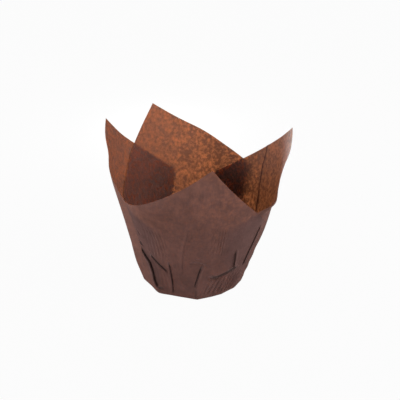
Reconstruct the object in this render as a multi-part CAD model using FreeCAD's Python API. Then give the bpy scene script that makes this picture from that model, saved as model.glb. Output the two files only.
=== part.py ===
import FreeCAD
import Part
import math
import os

# Tulip cupcake liner: one square sheet of baking paper pressed over a round former.
# Millimetres, +Z up, origin at the middle of the base's underside, front towards -Y.
# Azimuths are in degrees from the front, turning towards +X.

SIZES = [
    ("sheet_side", 150.0, "side of the flat square sheet"),
    ("base_diameter", 52.0, "round base, across its corners"),
    ("paper_thickness", 0.1, "thickness of the paper"),
    ("fold_gap", 0.16, "air between the layers of a pleat"),
    ("wall_angle", 16.0, "mean flare of the wall from vertical"),
    ("lean_angle", 2.2, "how far the flare leans to one side"),
    ("lean_azimuth", 121.0, "side that the flare leans to"),
    ("base_flatness_ratio", 0.92, "how straight the base's facets are, 0 to 1"),
    ("facet_height", 24.0, "height at which the facets have become round"),
    ("pleat_start", 2.6, "width of a pleat at the base fold"),
    ("gather_depth", 0.8, "how far a gather stands out of the wall"),
    ("gather_width", 3.4, "width of a gather"),
    ("gather_height", 24.0, "height at which a gather has flattened out"),
    ("sheet_forward", 1.0, "middle of the sheet lies this far to the front petal"),
    ("sheet_left", 0.6, "middle of the sheet lies this far to the left petal"),
]

# Each petal is a corner of the sheet: where its point stands, how far it is turned on
# the wall, whether its two sides lie outside or inside the neighbours, and the base
# azimuths of the gathers on it.
PETAL_AZIMUTHS = {
    "back_left": (-112.0, -4.9, 1, -1, (-98.0, -74.0)),
    "front": (11.4, 7.6, 1, 1, (-21.0, 4.4, 32.6)),
    "right": (103.0, 3.7, -1, -1, (71.4, 104.0)),
    "back": (205.9, 7.1, 1, -1, (158.0, 184.0)),
}

# Each pleat lies between two petals: the azimuth of its middle at the base, and the
# azimuth at the rim of the crease that shows outside.
PLEAT_AZIMUTHS = {
    "front_left": (-39.0, -52.9),
    "front_right": (53.0, 63.2),
    "back_right": (131.0, 133.4),
    "back_left": (226.0, 193.7),
}

# The pleats and petals in order round the cup, starting behind the left side.
RING = [
    ("back_left", "front_left"),
    ("front", "front_right"),
    ("right", "back_right"),
    ("back", "back_left"),
]

# A gather that starts in the middle of a facet, and so makes no corner in the base.
FLAT_GATHERS = (-21.0,)

# Soft bends that the paper takes where it stands free, and two corners of the base
# that stand out a little: azimuth, height up the wall, how wide and how high the bend
# is, and how far it goes outwards.
BENDS = {
    "front_point": (11.4, 80.0, 16.0, 14.0, -2.8),
    "front_left_edge": (-32.0, 58.0, 16.0, 12.0, 4.5),
    "left_edge": (-92.0, 70.0, 12.0, 9.0, -1.8),
    "left_rear_edge": (-128.0, 66.0, 10.0, 8.0, 1.0),
    "right_edge": (80.0, 65.0, 8.0, 8.0, -1.5),
    "right_corner": (57.0, 54.5, 9.5, 6.5, 4.4),
    "back_edge": (175.0, 62.0, 18.0, 10.0, 2.3),
    "front_base_corner": (4.4, 0.0, 14.0, 12.0, 1.1),
    "left_base_corner": (-39.0, 0.0, 14.0, 12.0, 0.7),
}

doc = FreeCAD.newDocument("cupcake_liner")
sheet = doc.addObject("Spreadsheet::Sheet", "Sizes")


def put(row, name, value, note):
    sheet.set("A%d" % row, name)
    sheet.set("B%d" % row, repr(float(value)))
    sheet.setAlias("B%d" % row, name)
    sheet.set("C%d" % row, note)


row = 1
for name, value, note in SIZES:
    put(row, name, value, note)
    row += 1
for petal, (tip, turn, low_side, high_side, gathers) in PETAL_AZIMUTHS.items():
    put(row, "tip_azimuth_" + petal, tip, "point of the petal")
    put(row + 1, "turn_" + petal, turn, "turn of the petal on the wall")
    row += 2
for pleat, (middle, crease) in PLEAT_AZIMUTHS.items():
    put(row, "pleat_azimuth_" + pleat, middle, "middle of the pleat at the base")
    put(row + 1, "crease_azimuth_" + pleat, crease, "outer crease at the rim")
    row += 2
for bend, (azimuth, height, width, rise, outwards) in BENDS.items():
    put(row, "bend_azimuth_" + bend, azimuth, "middle of a soft bend")
    put(row + 1, "bend_height_" + bend, height, "its height up the wall")
    put(row + 2, "bend_out_" + bend, outwards, "how far it goes outwards")
    row += 3
doc.recompute()


def size(name):
    return float(sheet.get(name))


BASE_RADIUS = size("base_diameter") / 2
THICKNESS = size("paper_thickness")
PITCH = THICKNESS + size("fold_gap")
FLARE = math.radians(size("wall_angle"))
LEAN = math.radians(size("lean_angle"))
LEAN_AZIMUTH = math.radians(size("lean_azimuth"))
# Distance from the point where the wall's lines would meet to the base fold.
APEX = BASE_RADIUS / math.sin(FLARE)
# A corner of the sheet is half a diagonal from the middle of the base.
TIP = size("sheet_side") / math.sqrt(2) - BASE_RADIUS
# The sheet never lies quite centred on its former.
TIP_SHIFT = {
    "front": size("sheet_forward"), "back": -size("sheet_forward"),
    "back_left": size("sheet_left"), "right": -size("sheet_left"),
}
PLEAT_OPENING = 1.9
FACET_SWEEP = math.radians(4.0)


def smooth(x):
    x = min(1.0, max(0.0, x))
    return x * x * (3 - 2 * x)


def flare_at(azimuth):
    return FLARE + LEAN * math.cos(azimuth - LEAN_AZIMUTH)


# The base fold is a polygon, one facet between each two gathers or pleats. Its corners
# are crisp at the gathers and rounded where a pleat's layers bend together.
corners = []
for petal, (tip, turn, low_side, high_side, gathers) in PETAL_AZIMUTHS.items():
    corners += [(g % 360.0, 1.0) for g in gathers if g not in FLAT_GATHERS]
corners += [(PLEAT_AZIMUTHS[p][0] % 360.0, 0.0) for p in PLEAT_AZIMUTHS]
corners.sort()


def facet_inset(azimuth):
    """How far the base fold lies inside its circle."""
    a = math.degrees(azimuth) % 360.0
    low, low_crisp = corners[-1][0] - 360.0, corners[-1][1]
    high, high_crisp = corners[0]
    for i, (corner, crisp) in enumerate(corners):
        if corner <= a:
            low, low_crisp = corner, crisp
            high, high_crisp = corners[(i + 1) % len(corners)]
            if i + 1 == len(corners):
                high += 360.0
    half = math.radians(high - low) / 2
    place = math.radians(a - low) / half - 1
    crisp = low_crisp * (1 - place) / 2 + high_crisp * (1 + place) / 2
    straight = 1 - math.cos(half) / math.cos(place * half)
    rounded = (1 - math.cos(half)) * math.cos(place * math.pi / 2) ** 2
    inset = BASE_RADIUS * (crisp * straight + (1 - crisp) * rounded)
    return inset * size("base_flatness_ratio")


bends = []
for bend, (azimuth, height, width, rise, outwards) in BENDS.items():
    bends.append((math.radians(size("bend_azimuth_" + bend)),
                  size("bend_height_" + bend), math.radians(width), rise,
                  size("bend_out_" + bend)))


def bend_at(azimuth, slant):
    """How far the free paper has bent outwards from its cone."""
    total = 0.0
    for middle, height, width, rise, outwards in bends:
        away = math.remainder(azimuth - middle, 2 * math.pi) / width
        total += outwards * math.exp(-away ** 2 - ((slant - height) / rise) ** 2)
    return total


def wall_point(azimuth, slant, offset):
    """A point of the wall, slant millimetres up from the base fold."""
    flare = flare_at(azimuth)
    fade = 1 - smooth(slant / size("facet_height"))
    radius = BASE_RADIUS + slant * math.sin(flare) + bend_at(azimuth, slant)
    radius += offset / math.cos(flare) - facet_inset(azimuth) * fade
    height = slant * math.cos(flare)
    return FreeCAD.Vector(
        radius * math.sin(azimuth), -radius * math.cos(azimuth), height
    )


class Petal:
    def __init__(self, name):
        tip, turn, low_side, high_side, gathers = PETAL_AZIMUTHS[name]
        self.name = name
        self.tip = math.radians(size("tip_azimuth_" + name))
        self.turn = math.radians(size("turn_" + name))
        self.levels = (low_side, high_side)
        self.gathers = [math.radians(g) for g in gathers]
        self.point = TIP + TIP_SHIFT[name]

    def rim(self, azimuth):
        """Slant height of the sheet's straight edge at this azimuth."""
        across = azimuth - self.tip
        corner = math.radians(45) + (self.turn if across < 0 else -self.turn)
        swing = abs(across) * math.sin(FLARE)
        reach = (APEX + self.point) * math.sin(corner) / math.sin(corner + swing)
        return reach - APEX

    def edge_length(self, azimuth):
        """Length of the sheet's edge from the petal's point to this azimuth."""
        across = abs(azimuth - self.tip) * math.sin(FLARE)
        reach = APEX + self.rim(azimuth)
        point = APEX + self.point
        return math.sqrt(
            reach ** 2 + point ** 2 - 2 * reach * point * math.cos(across)
        )


def flap_width(petal_a, azimuth_a, petal_b, azimuth_b):
    across = abs(azimuth_a - azimuth_b) * math.sin(FLARE)
    a = APEX + petal_a.rim(azimuth_a)
    b = APEX + petal_b.rim(azimuth_b)
    return math.sqrt(a * a + b * b - 2 * a * b * math.cos(across))


def hidden_crease(outer, crease, inner, direction):
    """Azimuth of the inner crease, so that the folded edge keeps the sheet's side."""
    low = 0.0
    high = math.radians(80)
    for _ in range(50):
        middle = (low + high) / 2
        azimuth = crease + direction * middle
        length = outer.edge_length(crease) + inner.edge_length(azimuth)
        length += flap_width(outer, crease, inner, azimuth)
        if length < size("sheet_side"):
            low = middle
        else:
            high = middle
    return crease + direction * (low + high) / 2


petals = {name: Petal(name) for name, pleat in RING}
for i, (name, pleat) in enumerate(RING):
    petal = petals[name]
    following = petals[RING[(i + 1) % len(RING)][0]]
    turn_round = 2 * math.pi if i + 1 == len(RING) else 0.0
    middle = math.radians(size("pleat_azimuth_" + pleat))
    crease = math.radians(size("crease_azimuth_" + pleat))
    start = size("pleat_start") / BASE_RADIUS / 2
    petal.after = following
    petal.after_turn = turn_round
    following.before = petal
    following.before_turn = turn_round
    petal.high_base = middle + start
    following.low_base = middle - start - turn_round
    following.tip += turn_round
    if petal.levels[1] > 0:
        petal.high_rim = crease
        following.low_rim = hidden_crease(petal, crease, following, -1) - turn_round
    else:
        following.low_rim = crease - turn_round
        petal.high_rim = hidden_crease(following, crease, petal, 1)
    following.tip -= turn_round


# A strip is the part of the sheet between two of its creases. A section line across
# it is a list of places, each with its azimuth at the base and at the rim.
UPWARD = [0.0, 0.07, 0.15, 0.25, 0.36, 0.47, 0.58, 0.69, 0.8, 0.9, 1.0]


def swing(base, rim, share):
    return base + (rim - base) * (1 - (1 - share) ** PLEAT_OPENING)


class Strip:
    """Places across one panel, and how far each lies from the middle layer."""

    def __init__(self, rim, face):
        self.rim = rim
        self.face = face
        self.places = []

    def add(self, base, rim, level, gather=0.0):
        self.places.append((base, rim, level, gather))

    def point(self, place, share, side, setback):
        base, rim, level, gather = place
        slant_top = self.rim(rim)
        first = THICKNESS / math.cos(FLARE) if side < 0 else 0.0
        slant = first + (slant_top - first) * share
        azimuth = swing(base, rim, slant / slant_top)
        azimuth += setback / (BASE_RADIUS + slant * math.sin(FLARE))
        up = slant / size("gather_height")
        bulge = 0.0
        if up < 1.0:
            bulge = gather * 4 * up * (1 - up)
        offset = level * PITCH + bulge + side * self.face * THICKNESS / 2
        point = wall_point(azimuth, slant, offset)
        if share == 0.0:
            point.z = THICKNESS if side < 0 else 0.0
        return point


def facets(lower, upper):
    """Flat facets between two lines of points, which fold like the paper does."""
    made = []
    for i in range(len(lower) - 1):
        corners_here = [lower[i], lower[i + 1], upper[i + 1], upper[i]]
        for triple in ((0, 1, 2), (0, 2, 3)):
            points = [corners_here[k] for k in triple]
            made.append(Part.Face(Part.makePolygon(points + [points[0]])))
    return made


def petal_strips(petal):
    """The panels of one petal, from its lower crease to its higher one."""
    span = petal.high_rim - petal.low_rim
    base_span = petal.high_base - petal.low_base
    tip_share = (petal.tip - petal.low_rim) / span
    free_low = (petal.before.high_rim - petal.before_turn - petal.low_rim) / span
    free_high = (petal.after.low_rim + petal.after_turn - petal.low_rim) / span
    half = size("gather_width") / 2 / BASE_RADIUS / base_span
    cuts = [(0.0, 0.0), (1.0, 0.0), (tip_share, 0.0)]
    for g in petal.gathers:
        share = (g - petal.low_base) / base_span
        cuts += [(share - half, 0.0), (share, size("gather_depth")), (share + half, 0.0)]
    cuts.sort()
    strips = []
    for (a, gather_a), (b, gather_b) in zip(cuts[:-1], cuts[1:]):
        strip = Strip(petal.rim, 1)
        count = max(2, int(math.ceil((b - a) * span / FACET_SWEEP)) + 1)
        for i in range(count):
            part = i / (count - 1)
            share = a + (b - a) * part
            blend = smooth((share - free_low) / (free_high - free_low))
            level = petal.levels[0] + (petal.levels[1] - petal.levels[0]) * blend
            strip.add(petal.low_base + base_span * share,
                      petal.low_rim + span * share, level,
                      gather_a + (gather_b - gather_a) * part)
        strips.append(strip)
    return strips


def flap_strips(petal, following, turn_round):
    """The hidden flap of a pleat, which runs back from one crease to the other."""
    rim_a = petal.high_rim
    rim_b = following.low_rim + turn_round
    base_a = petal.high_base
    base_b = following.low_base + turn_round
    reach_a = APEX + petal.rim(rim_a)
    reach_b = APEX + following.rim(rim_b - turn_round)
    whole = (rim_a - rim_b) * math.sin(FLARE)

    def rim(azimuth):
        part = (rim_a - azimuth) * math.sin(FLARE)
        reach = reach_a * reach_b * math.sin(whole)
        reach /= reach_a * math.sin(part) + reach_b * math.sin(whole - part)
        return reach - APEX

    strip = Strip(rim, -1)
    count = int(math.ceil((rim_a - rim_b) / FACET_SWEEP)) + 1
    for i in range(count):
        part = i / (count - 1)
        strip.add(base_a + (base_b - base_a) * part,
                  rim_a + (rim_b - rim_a) * part, 0.0)
    return [strip]


# The whole loop round the cup, with the setback that gives each fold its thickness.
loop = []
for i, (name, pleat) in enumerate(RING):
    petal = petals[name]
    following = petals[RING[(i + 1) % len(RING)][0]]
    turn_round = 2 * math.pi if i + 1 == len(RING) else 0.0
    loop.append((petal_strips(petal), petal.levels, 1))
    loop.append((flap_strips(petal, following, turn_round),
                 (petal.levels[1], following.levels[0]), -1))


def setback(levels, end, side, direction):
    """The inside of a fold ends one thickness before its outside."""
    outer_fold = levels[end] > 0
    if (side < 0) != outer_fold:
        return 0.0
    return -direction * (1 if end else -1) * THICKNESS


faces = []
bottoms = {1: [], -1: []}
ends = {1: [], -1: []}
for strips, levels, direction in loop:
    for side in (1, -1):
        for n, strip in enumerate(strips):
            grid = []
            for k, place in enumerate(strip.places):
                back = 0.0
                if n == 0 and k == 0:
                    back = setback(levels, 0, side, direction)
                if n == len(strips) - 1 and k == len(strip.places) - 1:
                    back = setback(levels, 1, side, direction)
                grid.append([strip.point(place, v, side, back) for v in UPWARD])
            for left, right in zip(grid[:-1], grid[1:]):
                faces += facets(left, right)
            bottoms[side] += [column[0] for column in grid]
            if side > 0:
                strip.top = [column[-1] for column in grid]
            else:
                faces += facets(strip.top, [column[-1] for column in grid])
            if n == 0:
                first = grid[0]
            last = grid[-1]
        ends[side].append((first, last))

# The turn of each fold joins the end of one strip to the start of the next.
for i in range(len(loop)):
    following = (i + 1) % len(loop)
    tops = []
    for side in (1, -1):
        here = ends[side][i][1]
        there = ends[side][following][0]
        faces += facets(here, there)
        tops.append([here[-1], there[-1]])
    faces += facets(tops[0], tops[1])

# The round base: its underside and its upper side.
for side in (1, -1):
    outline = []
    for point in bottoms[side]:
        if not outline or point.distanceToPoint(outline[-1]) > 1e-6:
            outline.append(point)
    if outline[0].distanceToPoint(outline[-1]) < 1e-6:
        outline.pop()
    faces.append(Part.Face(Part.makePolygon(outline + [outline[0]])))

shell = Part.makeShell(faces)
shell.sewShape()
solid = Part.makeSolid(shell)
if solid.Volume < 0:
    solid.reverse()

liner = doc.addObject("Part::Feature", "liner")
liner.Label = "liner"
liner.Shape = solid
liner.Placement = FreeCAD.Placement()
doc.recompute()

for thing in doc.Objects:
    if "Invalid" in thing.State or "Error" in thing.State:
        raise RuntimeError("%s did not build" % thing.Label)
if liner.Shape.isNull() or not liner.Shape.isValid() or liner.Shape.Volume <= 0:
    raise RuntimeError("the liner is not a valid solid")

for name, pleat in RING:
    petal = petals[name]
    print("petal %-10s rim %7.1f .. %7.1f  tip %7.1f  heights %.1f %.1f" % (
        name, math.degrees(petal.low_rim), math.degrees(petal.high_rim),
        math.degrees(petal.tip), petal.rim(petal.low_rim), petal.rim(petal.high_rim)))
print("faces", len(liner.Shape.Faces), "volume %.1f" % liner.Shape.Volume,
      "size", liner.Shape.BoundBox)

os.makedirs("parts", exist_ok=True)
liner.Shape.exportStep(os.path.join("parts", liner.Label + ".step"))
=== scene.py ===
import math

import bmesh
import bpy
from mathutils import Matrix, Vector


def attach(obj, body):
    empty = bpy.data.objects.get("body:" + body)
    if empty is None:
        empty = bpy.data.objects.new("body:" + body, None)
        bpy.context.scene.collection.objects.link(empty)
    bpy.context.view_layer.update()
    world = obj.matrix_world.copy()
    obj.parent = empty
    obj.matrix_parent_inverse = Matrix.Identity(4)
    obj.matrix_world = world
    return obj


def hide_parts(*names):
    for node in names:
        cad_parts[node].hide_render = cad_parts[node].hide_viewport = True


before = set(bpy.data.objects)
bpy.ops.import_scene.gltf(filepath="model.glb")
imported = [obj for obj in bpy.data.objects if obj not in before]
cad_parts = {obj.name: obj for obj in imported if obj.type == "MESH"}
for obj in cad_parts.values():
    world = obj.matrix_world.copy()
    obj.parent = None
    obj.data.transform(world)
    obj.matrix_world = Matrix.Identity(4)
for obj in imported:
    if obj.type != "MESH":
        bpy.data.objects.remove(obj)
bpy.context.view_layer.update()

# All the liner's own sizes are in millimetres and degrees, as a paper folder would
# write them, and MM turns them into metres at the end. Azimuths run from the front,
# -Y, towards +X.
MM = 0.001
SHEET_SIDE = 150.0
BASE_RADIUS = 26.0
PAPER = 0.1
LAYER_STEP = 0.27
WALL_FLARE = math.radians(16.0)
LEAN = math.radians(2.2)
LEAN_TOWARDS = math.radians(121.0)
APEX = BASE_RADIUS / math.sin(WALL_FLARE)
TIP_REACH = SHEET_SIDE / math.sqrt(2) - BASE_RADIUS
# How soon a pleat opens on its way up, how far up the wall the base's corners are
# felt, and how flat the base fold is between them
PLEAT_OPENING = 1.9
FACET_HEIGHT = 24.0
FACET_FLATNESS = 0.92

# Point azimuth, turn on the wall, layer on its lower and higher side, columns, and how
# far the sheet's corner lies off its mean distance
PETALS = {
    "back_left": (-112.0, -4.9, 1, -1, 40, 0.6),
    "front": (11.4, 7.6, 1, 1, 210, 1.0),
    "right": (103.0, 3.7, -1, -1, 44, -0.6),
    "back": (205.9, 7.1, 1, -1, 44, -1.0),
}
# Middle of each pleat at the base, and its outer crease at the rim
PLEATS = {
    "front_left": (-39.0, -52.9),
    "front_right": (53.0, 63.2),
    "back_right": (131.0, 133.4),
    "back_left": (226.0, 193.7),
}
# The petals in order round the cup, each with the pleat after it
RING = [
    ("back_left", "front_left"),
    ("front", "front_right"),
    ("right", "back_right"),
    ("back", "back_left"),
]
# Corners of the base fold: crisp (1) at a gather, rounded (0) at a pleat
BASE_CORNERS = {-98.0: 1, -74.0: 1, -39.0: 0.4, 4.4: 1, 32.6: 1, 53.0: 0, 71.4: 1,
                104.0: 1, 131.0: 0, 158.0: 1, 184.0: 1, 226.0: 0}
# Soft bends where the paper stands free, and places where the base fold stands out:
# azimuth, height up the wall, how wide and how high the bend is, how far outwards
BENDS = [
    (11.4, 80.0, 16.0, 14.0, -2.8),
    (-32.0, 58.0, 16.0, 12.0, 4.5),
    (-92.0, 70.0, 12.0, 9.0, -1.8),
    (-128.0, 66.0, 10.0, 8.0, 1.0),
    (80.0, 65.0, 8.0, 8.0, -1.5),
    (57.0, 54.5, 9.5, 6.5, 4.4),
    (175.0, 62.0, 18.0, 10.0, 2.3),
    (4.4, 0.0, 14.0, 12.0, 1.1),
    (-39.0, 0.0, 14.0, 12.0, 0.7),
    (-17.0, 0.0, 11.0, 10.0, 0.75),
    (21.0, 0.0, 9.0, 9.0, 0.5),
]
# Extra columns where a petal has a fine fold on its inner face: share from its lower
# side to its higher one, and how many
CLOSE_COLUMNS = {"right": (0.59, 0.70, 26)}
FLAP_COLUMNS = 8
FLOOR_ROWS = 4
# Close rows in the lower part of the wall, and wider ones above
LOW_ROWS = 68
HIGH_ROWS = 40
LOW_PART = 30.0
# The search for a hidden crease: its widest flap, and how often it halves
WIDEST_FLAP = math.radians(80)
HALVINGS = 50
# How high up the wall the layers have parted, and the pressed folds are whole
LAYERS_PARTED = 5.0
FOLDS_WHOLE = 3.0
# How fast and how far the relief fades beside a crease
EDGE_SPEED = 12
EDGE_CALM = 0.8
# An azimuth, in radians, at which the crease on that side has no effect
FAR_OFF = 9.0
# The flat grid's columns and rows are told apart by this many digits, and what meets
# within this distance is welded
GRID_DIGITS = 5
WELD = 0.002


def smooth(x):
    x = min(1.0, max(0.0, x))
    return x * x * (3 - 2 * x)


def ramp(x, start, end):
    """A smooth step from 0 at the start to 1 at the end."""
    return smooth((x - start) / (end - start))


def inside(share):
    """0 at both ends of a stretch, and 1 in its middle half."""
    return smooth(4 * share) * smooth(4 - 4 * share)


def bell(x):
    return math.exp(-x * x)


def flare_at(azimuth):
    return WALL_FLARE + LEAN * math.cos(azimuth - LEAN_TOWARDS)


def facet_inset(azimuth):
    """How far the base fold lies inside its circle, between two of its corners."""
    degrees = math.degrees(azimuth) % 360.0
    ring = sorted((c % 360.0, crisp) for c, crisp in BASE_CORNERS.items())
    low, low_crisp = ring[-1][0] - 360.0, ring[-1][1]
    high, high_crisp = ring[0]
    for i, (corner, crisp) in enumerate(ring):
        if corner <= degrees:
            low, low_crisp = corner, crisp
            high, high_crisp = ring[(i + 1) % len(ring)]
            if i + 1 == len(ring):
                high += 360.0
    half = math.radians(high - low) / 2
    place = math.radians(degrees - low) / half - 1
    crisp = low_crisp * (1 - place) / 2 + high_crisp * (1 + place) / 2
    straight = 1 - math.cos(half) / math.cos(place * half)
    rounded = (1 - math.cos(half)) * math.cos(place * math.pi / 2) ** 2
    return BASE_RADIUS * (crisp * straight + (1 - crisp) * rounded) * FACET_FLATNESS


class Petal:
    """One corner of the square sheet, standing on the wall."""

    def __init__(self, name):
        tip, turn, low, high, columns, shift = PETALS[name]
        self.name = name
        self.tip = math.radians(tip)
        self.turn = math.radians(turn)
        self.levels = (low, high)
        self.columns = columns
        self.point = TIP_REACH + shift

    def rim(self, azimuth):
        across = azimuth - self.tip
        corner = math.radians(45) + (self.turn if across < 0 else -self.turn)
        swept = abs(across) * math.sin(WALL_FLARE)
        reach = (APEX + self.point) * math.sin(corner) / math.sin(corner + swept)
        return reach - APEX

    def edge_length(self, azimuth):
        across = abs(azimuth - self.tip) * math.sin(WALL_FLARE)
        reach = APEX + self.rim(azimuth)
        point = APEX + self.point
        return math.sqrt(reach ** 2 + point ** 2 - 2 * reach * point * math.cos(across))


def flap_width(petal_a, azimuth_a, petal_b, azimuth_b):
    across = abs(azimuth_a - azimuth_b) * math.sin(WALL_FLARE)
    a = APEX + petal_a.rim(azimuth_a)
    b = APEX + petal_b.rim(azimuth_b)
    return math.sqrt(a * a + b * b - 2 * a * b * math.cos(across))


def hidden_crease(outer, crease, inner, direction):
    """The inner crease, where the folded edge keeps the sheet's side."""
    low = 0.0
    high = WIDEST_FLAP
    for _ in range(HALVINGS):
        middle = (low + high) / 2
        azimuth = crease + direction * middle
        length = outer.edge_length(crease) + inner.edge_length(azimuth)
        length += flap_width(outer, crease, inner, azimuth)
        if length < SHEET_SIDE:
            low = middle
        else:
            high = middle
    return crease + direction * (low + high) / 2


petals = {name: Petal(name) for name, pleat in RING}
for i, (name, pleat) in enumerate(RING):
    petal = petals[name]
    after = petals[RING[(i + 1) % len(RING)][0]]
    lap = 2 * math.pi if i + 1 == len(RING) else 0.0
    middle, crease = (math.radians(a) for a in PLEATS[pleat])
    petal.after, petal.lap_after = after, lap
    after.before, after.lap_before = petal, lap
    petal.high_base = middle
    after.low_base = middle - lap
    # the next petal's tip goes a whole turn further while its crease is sought
    after.tip += lap
    if petal.levels[1] > 0:
        petal.high_rim = crease
        after.low_rim = hidden_crease(petal, crease, after, -1) - lap
    else:
        after.low_rim = crease - lap
        petal.high_rim = hidden_crease(after, crease, petal, 1)
    after.tip -= lap

# Small folds pressed flat into the wall, each like a wave that leans over: the petal it
# lies on, azimuth and height of the points along it, half its width, how far its crest
# stands out, how far the crest leans to the side and upwards, and how strong the
# painted shade in its slit is
PRESSED_FOLDS = [
    ("front", [(-53.5, 27.6), (-48.5, 24.4), (-42.9, 19.4), (-41.4, 14.0),
               (-41.2, 9.4), (-40.2, 5.4), (-39.4, 3.4)], 0.95, 1.2, (1.3, 0.2), 1.0),
    ("front", [(-40.5, 4.2), (-37.5, 3.4), (-34.0, 3.6), (-30.5, 4.4)],
     0.7, 0.7, (0.0, 0.3), 1.0),
    ("front", [(-51.6, 31.4), (-48.2, 28.8), (-45.0, 27.2)], 0.6, 0.6, (0.3, 0.5), 0.9),
    ("front", [(-50.0, 38.0), (-46.5, 34.0)], 0.6, 0.5, (0.5, 0.2), 0.7),
    ("front", [(-41.0, 25.0), (-36.5, 22.6), (-30.5, 19.0), (-24.4, 15.2)],
     0.65, 0.8, (0.5, 0.6), 1.0),
    ("front", [(-22.6, 23.0), (-22.2, 17.0), (-22.4, 9.0), (-23.4, 1.8)],
     0.65, 0.75, (0.85, 0.0), 0.9),
    ("front", [(-3.6, 46.5), (-4.4, 42.0), (-7.6, 34.0), (-9.4, 26.0), (-10.4, 16.0)],
     0.6, 0.32, (0.25, 0.0), 0.15),
    ("front", [(1.6, 42.4), (-2.4, 39.0), (-5.6, 37.0)], 0.5, 0.2, (0.1, 0.1), 0.2),
    ("front", [(9.2, 22.6), (7.0, 18.0), (4.6, 12.0), (2.6, 7.6)],
     0.7, 0.9, (-0.6, 0.0), 1.0),
    ("front", [(3.4, 8.0), (4.2, 4.0), (4.4, 0.4)], 0.6, 0.4, (-0.3, 0.0), 0.3),
    ("front", [(-4.4, 22.6), (1.6, 24.4), (7.6, 23.4), (13.6, 21.0)],
     0.5, 0.3, (0.0, 0.25), 0.3),
    ("front", [(-1.0, 26.0), (5.0, 26.2), (10.0, 24.4)], 0.5, 0.22, (0.0, 0.2), 0.16),
    ("front", [(13.8, 14.2), (19.0, 12.9), (24.0, 12.9), (31.6, 14.4), (39.5, 15.6),
               (45.6, 16.6)], 0.8, 0.95, (-0.1, 0.45), 1.0),
    ("front", [(37.6, 29.0), (38.8, 24.0), (40.4, 18.4), (41.0, 16.2)],
     0.6, 0.7, (-0.7, 0.0), 0.9),
    ("front", [(61.4, 38.0), (58.8, 31.0), (55.4, 23.0), (52.6, 14.5)],
     0.65, 0.6, (-0.65, 0.0), 0.9),
    ("right", [(122.6, 61.0), (121.0, 57.5), (120.4, 50.0), (117.0, 40.0),
               (112.0, 31.0), (109.4, 26.6)], 0.7, -0.5, (0.5, 0.0), 0.95),
]
# How far from its line a fold is felt, and the length over which its ends fade, the
# start of which lies a little outside
FOLD_REACH = 3
FADE_START = 0.4
FADE_LENGTH = 3.2
# The painted shade in a fold's slit, a dark band in place of the shadow under the
# leaning
# crest, in half widths of the fold: how far ahead of the line it lies, how wide it is,
# and where and how fast it ends
SLIT_AHEAD = 0.75
SLIT_WIDTH = 0.95
SLIT_LIMIT = 1.2
SLIT_EDGE = 0.6
# Fine ribs that the press leaves: first and last azimuth, lowest and highest place, how
# many, how far the tops lean, how deep
RIBS = [
    (2.0, 53.0, 0.3, 14.0, 11, 9.0, 0.40),
    (12.0, 26.0, 26.0, 46.0, 6, 1.0, 0.17),
    (-42.0, -18.0, 22.0, 44.0, 8, -3.0, 0.15),
    (-36.0, -8.0, 3.0, 20.0, 8, -2.0, 0.10),
    (-70.0, -50.0, 4.0, 40.0, 4, -4.0, 0.14),
]
# How unevenly the ribs run: how far they wander, along the row and up the wall
RIB_WANDER = (0.9, 7.3, 0.21)
# Long soft waves, which any folded paper has: depth, how many to a radian, how they
# climb, where they start, and the height at which they are whole
SOFT_WAVES = [(0.12, 9, 0.05, 0.0), (0.08, 17, -0.11, 1.3)]
WAVES_WHOLE = 12.0
# Gathers that rise from the base fold where the folds above don't reach: the petal,
# azimuth, depth
GATHERS = [
    ("back_left", -98.0, 0.8), ("back_left", -74.0, 0.7), ("right", 71.4, 0.7),
    ("right", 104.0, 0.8), ("back", 158.0, 0.8), ("back", 184.0, 0.7),
    ("front", 32.6, 0.25),
]
GATHER_WIDTH = 2.0
GATHER_HEIGHT = 24.0
# One petal is a little fuller beside the front pleat: azimuth, height, how wide and how
# high, how far outwards
FULL_WALL = {"right": (84.0, 27.0, 14.0, 14.0, 1.4)}
# The front petal's two outer creases, on its low and its high side: where their lift
# starts, is full, falls and ends, how far it goes, how wide it is
FRONT_LIFTS = [(3.0, 9.0, 19.0, 30.0, 0.6, 3.2), (3.0, 11.0, 28.0, 37.0, 0.4, 2.6)]
# How far the outer creases of the rear petals stand off the layer below them, where
# that starts and is full, and how wide it is
REAR_LIFTS = {"back_left": 3.2, "back": 0.4}
REAR_RISE = (8.0, 30.0, 7.0)
# The inner creases behind the front petal, on the high side (1) or the low side (0) of
# their petals, bend into the cup: where that starts and is full, how far, how wide
INNER_CREASES = {"back_left": 1, "right": 0}
INNER_BEND = (12.0, 30.0, 1.8, 6.0)


def along_line(azimuth, height, radius, points):
    """Distance to a folded line, which side of it, and the length to its near end."""
    best = (math.inf, (0.0, 0.0), 0.0)
    walked = 0.0
    for (a0, z0), (a1, z1) in zip(points[:-1], points[1:]):
        dx = math.radians(a1 - a0) * radius
        dz = z1 - z0
        length = math.hypot(dx, dz)
        x = (azimuth - math.radians(a0)) * radius
        z = height - z0
        share = min(1.0, max(0.0, (x * dx + z * dz) / length ** 2))
        away = math.hypot(x - share * dx, z - share * dz)
        if away < best[0]:
            best = (away, (x - share * dx, z - share * dz), walked + share * length)
        walked += length
    return best[0], best[1], min(best[2], walked - best[2])


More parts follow.
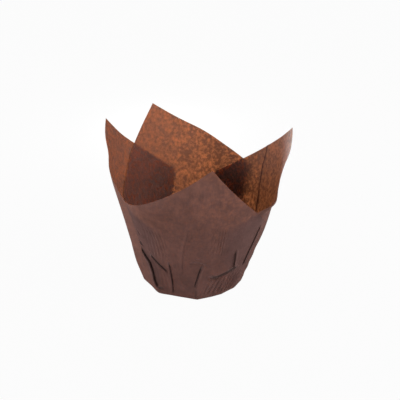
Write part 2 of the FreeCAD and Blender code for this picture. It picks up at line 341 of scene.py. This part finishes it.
def pressed(name, azimuth, slant):
    """How far the pressed folds move a place sideways, up and out, and the painted
    shade in their slit.
    """
    flare = flare_at(azimuth)
    radius = BASE_RADIUS + slant * math.sin(flare)
    height = slant * math.cos(flare)
    side = up = out = slit = 0.0
    for petal, points, width, crest, (lean_side, lean_up), slit_shade_strength in PRESSED_FOLDS:
        if petal != name:
            continue
        reach = FOLD_REACH * width
        low = min(z for a, z in points) - reach
        high = max(z for a, z in points) + reach
        if not low < height < high:
            continue
        away, (dx, dz), end = along_line(azimuth, height, radius, points)
        if away > reach:
            continue
        fade = smooth((end + FADE_START) / FADE_LENGTH)
        wave = bell(away / width) * fade
        side += wave * lean_side
        up += wave * lean_up
        out += wave * crest
        # The slit's painted shade: a dark band a little ahead of the line, on the side
        # the crest leans to, where the shadow under the crest would be
        lean = math.hypot(lean_side, lean_up)
        ahead = (dx * lean_side + dz * lean_up) / lean
        across = bell((ahead - SLIT_AHEAD * width) / (SLIT_WIDTH * width))
        along = bell(max(0.0, away - SLIT_LIMIT * width) / (SLIT_EDGE * width))
        slit = max(slit, slit_shade_strength * fade * across * along)
    return side, up, out, slit


def relief(name, azimuth, slant):
    """How far the paper stands out of its smooth wall."""
    flare = flare_at(azimuth)
    radius = BASE_RADIUS + slant * math.sin(flare)
    height = slant * math.cos(flare)
    degrees = math.degrees(azimuth)
    out = 0.0
    for petal, corner, depth in GATHERS:
        if petal == name:
            rise = slant / GATHER_HEIGHT
            if rise < 1:
                across = abs(azimuth - math.radians(corner)) * radius
                fall = max(0.0, 1 - across / GATHER_WIDTH)
                out += depth * 4 * rise * (1 - rise) * fall
    for first, last, low, high, count, lean, depth in RIBS:
        rise = (height - low) / (high - low)
        if 0 < rise < 1:
            place = (degrees - lean * rise - first) / (last - first)
            if 0 < place < 1:
                wide, along, up = RIB_WANDER
                wander = wide * math.sin(along * place + up * height)
                wave = math.sin(2 * math.pi * place * count + wander)
                out += depth * (inside(rise) * inside(place)) * wave
    if name in FULL_WALL:
        middle, level, width, rise, full = FULL_WALL[name]
        out += full * bell((degrees - middle) / width) * bell((height - level) / rise)
    whole = smooth(slant / WAVES_WHOLE)
    for depth, turns, climb, start in SOFT_WAVES:
        out += depth * whole * math.sin(azimuth * turns + slant * climb + start)
    return out


def crease_lift(name, from_low, from_high, slant):
    """How far a crease stands off the layers next to it, outwards or into the cup."""
    out = 0.0
    radius = BASE_RADIUS + slant * math.sin(WALL_FLARE)
    if name == "front":
        for away, values in zip((from_low, from_high), FRONT_LIFTS):
            start, full, fall, end, lift, spread = values
            rise = ramp(slant, start, full) * (1 - ramp(slant, fall, end))
            out += lift * rise * bell(away * radius / spread)
    if name in REAR_LIFTS:
        start, full, spread = REAR_RISE
        rise = ramp(slant, start, full)
        out += REAR_LIFTS[name] * rise * bell(from_low * radius / spread)
    if name in INNER_CREASES:
        away = (from_low, from_high)[INNER_CREASES[name]]
        start, full, depth, spread = INNER_BEND
        out -= depth * ramp(slant, start, full) * bell(away * radius / spread)
    return out


def rise_to(top, row):
    """Slant height of a row of the sheet's grid, under a rim at this height."""
    if row <= LOW_ROWS:
        return LOW_PART * row / LOW_ROWS
    return LOW_PART + (top - LOW_PART) * (row - LOW_ROWS) / HIGH_ROWS


def bend_at(azimuth, slant):
    """How far the free paper has bent outwards from its cone."""
    total = 0.0
    for middle, height, width, rise, outwards in BENDS:
        away = math.remainder(math.degrees(azimuth) - middle, 360.0) / width
        total += outwards * math.exp(-away ** 2 - ((slant - height) / rise) ** 2)
    return total


def wall_place(azimuth, slant, offset):
    """A place that stands out of the wall by an offset."""
    flare = flare_at(azimuth)
    fade = 1 - smooth(slant / FACET_HEIGHT)
    radius = BASE_RADIUS + slant * math.sin(flare) + bend_at(azimuth, slant)
    radius += offset / math.cos(flare) - facet_inset(azimuth) * fade
    return Vector((radius * math.sin(azimuth), -radius * math.cos(azimuth),
                   slant * math.cos(flare) + PAPER / 2))


def swing(base, rim, share):
    """The azimuth of a line that runs from the base to the rim."""
    return base + (rim - base) * (1 - (1 - share) ** PLEAT_OPENING)


# The columns of the sheet's own grid, in order round the cup. Each is a function from
# a row of the wall to a place on it and the strength of the painted shade in its slit.
columns = []
sharp_columns = set()


def petal_column(petal, share):
    """A column on a petal, with everything that is pressed into it."""
    low_free = petal.before.high_rim - petal.lap_before - petal.low_rim
    high_free = petal.after.low_rim + petal.lap_after - petal.low_rim
    span = petal.high_rim - petal.low_rim
    blend = smooth((share * span - low_free) / (high_free - low_free))
    level = petal.levels[0] + (petal.levels[1] - petal.levels[0]) * blend
    base = petal.low_base + (petal.high_base - petal.low_base) * share
    rim = petal.low_rim + span * share
    top = petal.rim(rim)

    def place(row):
        slant = rise_to(top, row)
        up = slant / top
        azimuth = swing(base, rim, up)
        low = swing(petal.low_base, petal.low_rim, up)
        high = swing(petal.high_base, petal.high_rim, up)
        layer = level * LAYER_STEP * smooth(slant / LAYERS_PARTED)
        ends = bell((azimuth - low) * EDGE_SPEED) + bell((high - azimuth) * EDGE_SPEED)
        out = relief(petal.name, azimuth, slant)
        out *= 1 - EDGE_CALM * min(1.0, ends)
        out += crease_lift(petal.name, azimuth - low, high - azimuth, slant)
        side, lift, stand, slit = pressed(petal.name, azimuth, slant)
        fade = smooth(slant / FOLDS_WHOLE)
        azimuth += side * fade / (BASE_RADIUS + slant * math.sin(WALL_FLARE))
        offset = layer + out + stand * fade
        return wall_place(azimuth, slant + lift * fade, offset), slit
    return place


def flap_column(petal, after, lap, share):
    """A column on the hidden layer between two petals."""
    rim_a, rim_b = petal.high_rim, after.low_rim + lap
    reach_a = APEX + petal.rim(rim_a)
    reach_b = APEX + after.rim(rim_b - lap)
    whole = (rim_a - rim_b) * math.sin(WALL_FLARE)
    part = whole * share
    top = reach_a * reach_b * math.sin(whole)
    top /= reach_a * math.sin(part) + reach_b * math.sin(whole - part)
    top -= APEX
    rim = rim_a + (rim_b - rim_a) * share
    base = petal.high_base

    def place(row):
        slant = rise_to(top, row)
        up = slant / top
        azimuth = swing(base, rim, up)
        high = swing(base, rim_a, up)
        low = swing(base, rim_b, up)
        out = crease_lift(petal.name, FAR_OFF, high - azimuth, slant)
        out += crease_lift(after.name, azimuth - low, FAR_OFF, slant)
        return wall_place(azimuth, slant, out), 0.0
    return place


for i, (name, pleat) in enumerate(RING):
    petal = petals[name]
    span = petal.high_rim - petal.low_rim
    tip_share = (petal.tip - petal.low_rim) / span
    tip_column = round(petal.columns * tip_share)
    shares = [tip_share * k / tip_column for k in range(tip_column + 1)]
    rest = petal.columns - tip_column
    shares += [tip_share + (1 - tip_share) * (k + 1) / rest for k in range(rest)]
    if name in CLOSE_COLUMNS:
        first, last, count = CLOSE_COLUMNS[name]
        shares += [first + (last - first) * k / (count - 1) for k in range(count)]
        shares.sort()
    sharp_columns.add(len(columns))
    columns += [petal_column(petal, share) for share in shares]
    sharp_columns.add(len(columns) - 1)
    for k in range(FLAP_COLUMNS + 1):
        if k in (0, FLAP_COLUMNS):
            sharp_columns.add(len(columns))
        columns.append(flap_column(petal, petal.after, petal.lap_after,
                                   k / FLAP_COLUMNS))


def add_object(name, data):
    made = bpy.data.objects.new(name, data)
    bpy.context.scene.collection.objects.link(made)
    return made


def fold_sheet():
    """Folds a flat grid, which is the square sheet, into the liner."""
    rows = FLOOR_ROWS + LOW_ROWS + HIGH_ROWS
    mesh = bpy.data.meshes.new("folded_liner")
    bm = bmesh.new()
    bmesh.ops.create_grid(bm, x_segments=len(columns), y_segments=rows, size=1.0)
    across = sorted({round(v.co.x, GRID_DIGITS) for v in bm.verts})
    along = sorted({round(v.co.y, GRID_DIGITS) for v in bm.verts})
    column_of = {x: k for k, x in enumerate(across)}
    row_of = {y: k for k, y in enumerate(along)}
    feet = [place(0)[0] for place in columns]
    # Each corner of the grid keeps how strong the painted shade of a fold's slit is
    # there, for the paper's material
    slit = bm.verts.layers.float.new("slit")
    spot = {}
    for v in bm.verts:
        column = column_of[round(v.co.x, GRID_DIGITS)] % len(columns)
        row = row_of[round(v.co.y, GRID_DIGITS)]
        if row <= FLOOR_ROWS:
            foot = feet[column]
            reach = row / FLOOR_ROWS
            v.co = Vector((foot.x * reach, foot.y * reach, PAPER / 2))
        else:
            v.co, v[slit] = columns[column](row - FLOOR_ROWS)
        spot[v] = (column, row)
    for edge in bm.edges:
        (column_a, row_a), (column_b, row_b) = (spot[v] for v in edge.verts)
        along_crease = column_a == column_b and column_a in sharp_columns
        round_base = row_a == row_b == FLOOR_ROWS
        at_rim = row_a == row_b == rows
        if round_base or at_rim or (along_crease and max(row_a, row_b) > FLOOR_ROWS):
            edge.smooth = False
    for face in bm.faces:
        face.smooth = True
    bmesh.ops.remove_doubles(bm, verts=bm.verts, dist=WELD)
    bmesh.ops.recalc_face_normals(bm, faces=bm.faces)
    bmesh.ops.scale(bm, vec=(MM, MM, MM), verts=bm.verts)
    bm.to_mesh(mesh)
    bm.free()
    piece = add_object("folded_liner", mesh)
    thick = piece.modifiers.new("paper", "SOLIDIFY")
    thick.thickness = PAPER * MM
    thick.offset = 0.0
    thick.material_offset = 1
    thick.material_offset_rim = 1
    return piece


liner = fold_sheet()


class Value:
    """A socket with the usual arithmetic on it."""

    def __init__(self, tree, socket):
        self.tree = tree
        self.socket = socket

    def _math(self, kind, a, b):
        node = self.tree.nodes.new("ShaderNodeMath")
        node.operation = kind
        for i, x in enumerate((a, b)):
            if isinstance(x, Value):
                self.tree.links.new(x.socket, node.inputs[i])
            else:
                node.inputs[i].default_value = x
        return Value(self.tree, node.outputs[0])

    def __add__(self, other):
        return self._math("ADD", self, other)

    def __sub__(self, other):
        return self._math("SUBTRACT", self, other)

    def __rsub__(self, other):
        return self._math("SUBTRACT", other, self)

    def __mul__(self, other):
        return self._math("MULTIPLY", self, other)

    def larger(self, other):
        return self._math("MAXIMUM", self, other)


class Finish:
    """The nodes of a material or of the world, and the one way that they are made."""

    def __init__(self, owner):
        owner.use_nodes = True
        self.tree = owner.node_tree
        self.tree.nodes.clear()

    def node(self, kind, settings=None, **inputs):
        node = self.tree.nodes.new(kind)
        for key, value in (settings or {}).items():
            if key == "stops":
                stops = node.color_ramp.elements
                while len(stops) < len(value):
                    stops.new(0.5)
                for element, (position, colour) in zip(stops, value):
                    element.position = position
                    element.color = (*colour, 1.0)
            else:
                setattr(node, key, value)
        for key, value in inputs.items():
            socket = node.inputs[int(key[1:]) if key[1:].isdigit() else
                                 key.replace("_", " ")]
            if isinstance(value, Value):
                self.tree.links.new(value.socket, socket)
            elif isinstance(value, bpy.types.NodeSocket):
                self.tree.links.new(value, socket)
            else:
                socket.default_value = value
        return node

    def value(self, socket):
        return Value(self.tree, socket)

    def noise(self, place, scale, detail, roughness):
        made = self.node("ShaderNodeTexNoise", Vector=place, Scale=scale,
                         Detail=detail, Roughness=roughness)
        return self.value(made.outputs["Fac"])

    def mapped(self, value, start, end, first, last):
        """A value that goes from first to last while another goes from start to end."""
        made = self.node("ShaderNodeMapRange", Value=value, _1=start, _2=end,
                         _3=first, _4=last)
        return self.value(made.outputs["Result"])

    def surface(self, socket):
        self.node("ShaderNodeOutputMaterial", Surface=socket)


# Marks of the pulp: how many to a metre, how fine their detail, how rough
CLUMPS = (600.0, 4.0, 0.6)
PATCHES = (190.0, 2.0, 0.5)
FIBRE = (2600.0, 2.0, 0.5)
STREAKS = (1100.0, 3.0, 0.6)
STREAK_STRETCH = (1.0, 1.0, 0.14)
# Where the darkest, the middle and the lightest tone of the skin lie
TONE_STOPS = (0.36, 0.50, 0.64)
SKIN_ROUGHNESS = 0.55
# How strong the relief of the marks is, and how high, in metres
RELIEF_STRENGTH = 0.5
RELIEF_HEIGHT = 0.00010
# The light that comes through the paper, and the painted shade of a slit: a near black
# colour that covers a fold's slit, in place of the shadow in its gap
THROUGH_COLOUR = (0.88, 0.50, 0.295, 1.0)
SLIT_SHADE_COLOUR = (0.010, 0.006, 0.005, 1.0)
SLIT_SHADE_COVER = 0.9
# Where the pulp gets thin: first and last cloudiness
THIN_PLACES = (0.42, 0.66)
# How cloudy the pulp is from left to right, and how much calmer on the right: first and
# last place in metres, first and last share
CLOUDIER = (-0.025, 0.025, 0.55, 1.7)
CALMER = (0.022, 0.036, 1.0, 0.5)
# Over which stretch the share of light changes from left to right, and from the front
# backwards, in metres
LEFT_TO_RIGHT = (-0.030, 0.030)
FRONT_TO_BACK = (-0.024, 0.004)


def paper_side(name, tones, thinnest, thickest, clumpy, gloss, left_share, right_share,
               front_share):
    """One side of the paper: its brown skin, and the light that comes through it."""
    material = bpy.data.materials.new(name)
    paper = Finish(material)
    place = paper.node("ShaderNodeTexCoord").outputs["Object"]
    clumps = paper.noise(place, *CLUMPS)
    patches = paper.noise(place, *PATCHES)
    fibre = paper.noise(place, *FIBRE)
    stretched = paper.node("ShaderNodeMapping", Vector=place,
                           Scale=STREAK_STRETCH).outputs["Vector"]
    streaks = paper.noise(stretched, *STREAKS)
    slit = paper.value(paper.node("ShaderNodeAttribute",
                                  {"attribute_name": "slit"}).outputs["Fac"])
    tone = patches * 0.35 + streaks * 0.35 + clumps * 0.2 + fibre * 0.1
    colour = paper.node("ShaderNodeValToRGB", {"stops": list(zip(TONE_STOPS, tones))},
                        Fac=tone).outputs["Color"]
    height = streaks * 0.6 + clumps * 0.4
    bump = paper.node("ShaderNodeBump", Strength=RELIEF_STRENGTH,
                      Distance=RELIEF_HEIGHT, Height=height).outputs["Normal"]
    skin = paper.node("ShaderNodeBsdfPrincipled", Base_Color=colour, Normal=bump,
                      Roughness=SKIN_ROUGHNESS, Specular_IOR_Level=gloss)
    glow = paper.node("ShaderNodeBsdfTranslucent", Color=THROUGH_COLOUR)
    spot = paper.node("ShaderNodeSeparateXYZ", Vector=place)
    across = spot.outputs["X"]
    cloudier = paper.mapped(across, *CLOUDIER)
    calmer = paper.mapped(across, *CALMER)
    sideways = paper.mapped(across, *LEFT_TO_RIGHT, left_share, right_share)
    backwards = paper.mapped(spot.outputs["Y"], *FRONT_TO_BACK, front_share, 1.0)
    cloud = clumps * 0.8 + patches * 0.2 - 0.5
    cloud = cloud * cloudier * calmer * clumpy + 0.5
    thin = paper.mapped(cloud, *THIN_PLACES, thickest, thinnest)
    # Painted shade: where a fold's slit lies, the paper lets no light through
    through = thin * sideways * backwards * (1 - slit)
    sheet = paper.node("ShaderNodeMixShader", _0=through, _1=skin.outputs[0],
                       _2=glow.outputs[0])
    # Painted shade for the slits: a near black diffuse mixed over the paper by the slit
    # mask
    depth = paper.node("ShaderNodeBsdfDiffuse", Color=SLIT_SHADE_COLOUR)
    mix = paper.node("ShaderNodeMixShader", _0=slit * SLIT_SHADE_COVER, _1=sheet.outputs[0],
                     _2=depth.outputs[0])
    paper.surface(mix.outputs[0])
    return material


liner.data.materials.append(paper_side(
    "brown_paper_outside",
    tones=[(0.100, 0.045, 0.037), (0.132, 0.060, 0.051), (0.166, 0.077, 0.066)],
    thinnest=0.28, thickest=0.20, clumpy=0.5, gloss=0.6,
    left_share=0.60, right_share=1.10, front_share=0.65))
liner.data.materials.append(paper_side(
    "brown_paper_inside",
    tones=[(0.102, 0.056, 0.047), (0.140, 0.078, 0.066), (0.184, 0.103, 0.088)],
    thinnest=0.96, thickest=0.30, clumpy=1.0, gloss=0.12,
    left_share=1.12, right_share=0.77, front_share=1.0))
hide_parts("liner")
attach(liner, "root")

# White table and soft studio light
TABLE_HALF = 3.0
# The camera sees this share of the table's own glow, and its colour lights the liner
TABLE_GLOW = 0.965
TABLE_COLOUR = (0.18, 0.18, 0.18, 1.0)
SKY_LIGHT = 0.12
WHITE = (1.0, 1.0, 1.0, 1.0)
table_mesh = bpy.data.meshes.new("table")
bm = bmesh.new()
bmesh.ops.create_grid(bm, x_segments=1, y_segments=1, size=TABLE_HALF)
bm.to_mesh(table_mesh)
bm.free()
table = add_object("table", table_mesh)
table_white = bpy.data.materials.new("white_table")
ground = Finish(table_white)
seen = ground.node("ShaderNodeLightPath")
lit = ground.node("ShaderNodeBsdfDiffuse", Color=TABLE_COLOUR)
plain = ground.node("ShaderNodeEmission", Color=WHITE, Strength=1.0)
share = ground.value(seen.outputs["Is Camera Ray"]) * TABLE_GLOW
blend = ground.node("ShaderNodeMixShader", _0=share, _1=lit.outputs[0],
                    _2=plain.outputs[0])
ground.surface(blend.outputs[0])
table.data.materials.append(table_white)

world = bpy.data.worlds.new("studio")
bpy.context.scene.world = world
sky = Finish(world)
path = sky.node("ShaderNodeLightPath")
soft = sky.node("ShaderNodeBackground", Color=WHITE, Strength=SKY_LIGHT)
white = sky.node("ShaderNodeBackground", Color=WHITE, Strength=1.0)
direct = sky.value(path.outputs["Is Camera Ray"])
for kind in ("Is Glossy Ray", "Is Transmission Ray"):
    direct = direct.larger(sky.value(path.outputs[kind]))
both = sky.node("ShaderNodeMixShader", _0=direct, _1=soft.outputs[0],
                _2=white.outputs[0])
sky.node("ShaderNodeOutputWorld", Surface=both.outputs[0])

# Lamps: place in metres, width and height or radius, power in watts
SOFTBOXES = {
    "right_softbox": ((0.75, -0.15, 0.65), 0.4, 0.4, 8.0),
    "low_right_softbox": ((0.78, -0.34, 0.12), 0.3, 0.2, 1.7),
    "front_softbox": ((-0.10, -0.90, 0.22), 0.4, 0.2, 2.1),
    "left_softbox": ((-0.66, -0.52, 0.14), 0.3, 0.2, 2.6),
    "left_rear_softbox": ((-0.75, 0.14, 0.17), 0.3, 0.2, 2.7),
}
BULBS = {
    "back_bulb": ((-0.018, 0.18, 0.030), 0.03, 1.50),
    "right_bulb": ((0.17, 0.04, 0.035), 0.03, 0.15),
}
AIM = Vector((0.0, 0.0, 0.04))


def hang(lamp, place, power):
    lamp.energy = power
    holder = add_object(lamp.name, lamp)
    holder.visible_camera = False
    holder.location = place
    return holder


for name, (place, width, height, power) in SOFTBOXES.items():
    lamp = bpy.data.lights.new(name, "AREA")
    lamp.shape = "RECTANGLE"
    lamp.size = width
    lamp.size_y = height
    towards = (AIM - Vector(place)).to_track_quat("-Z", "Y")
    hang(lamp, place, power).rotation_euler = towards.to_euler()
for name, (place, radius, power) in BULBS.items():
    lamp = bpy.data.lights.new(name, "POINT")
    lamp.shadow_soft_size = radius
    hang(lamp, place, power)

# The camera stands where the photograph was taken from
VIEW_HEIGHT = math.radians(27.0)
VIEW_DISTANCE = 0.520
FOCUS = Vector((0.0, 0.0, 0.0416))
# In pixels: the photo's width, its focal length, and the column and row it faces
PHOTO_WIDTH = 400.0
FOCAL_LENGTH = 1044.7
FACING_COLUMN = 192.8
FACING_ROW = 199.5
camera_data = bpy.data.cameras.new("camera")
camera_data.sensor_width = 36.0
camera_data.lens = FOCAL_LENGTH / PHOTO_WIDTH * camera_data.sensor_width
camera_data.shift_x = (PHOTO_WIDTH / 2 - FACING_COLUMN) / PHOTO_WIDTH
camera_data.shift_y = (FACING_ROW - PHOTO_WIDTH / 2) / PHOTO_WIDTH
camera_data.clip_start = 0.01
camera = add_object("camera", camera_data)
camera.location = FOCUS + VIEW_DISTANCE * Vector(
    (0.0, -math.cos(VIEW_HEIGHT), math.sin(VIEW_HEIGHT)))
camera.rotation_euler = (math.radians(90.0) - VIEW_HEIGHT, 0.0, 0.0)
bpy.context.scene.camera = camera

bpy.context.scene.view_settings.view_transform = "Standard"
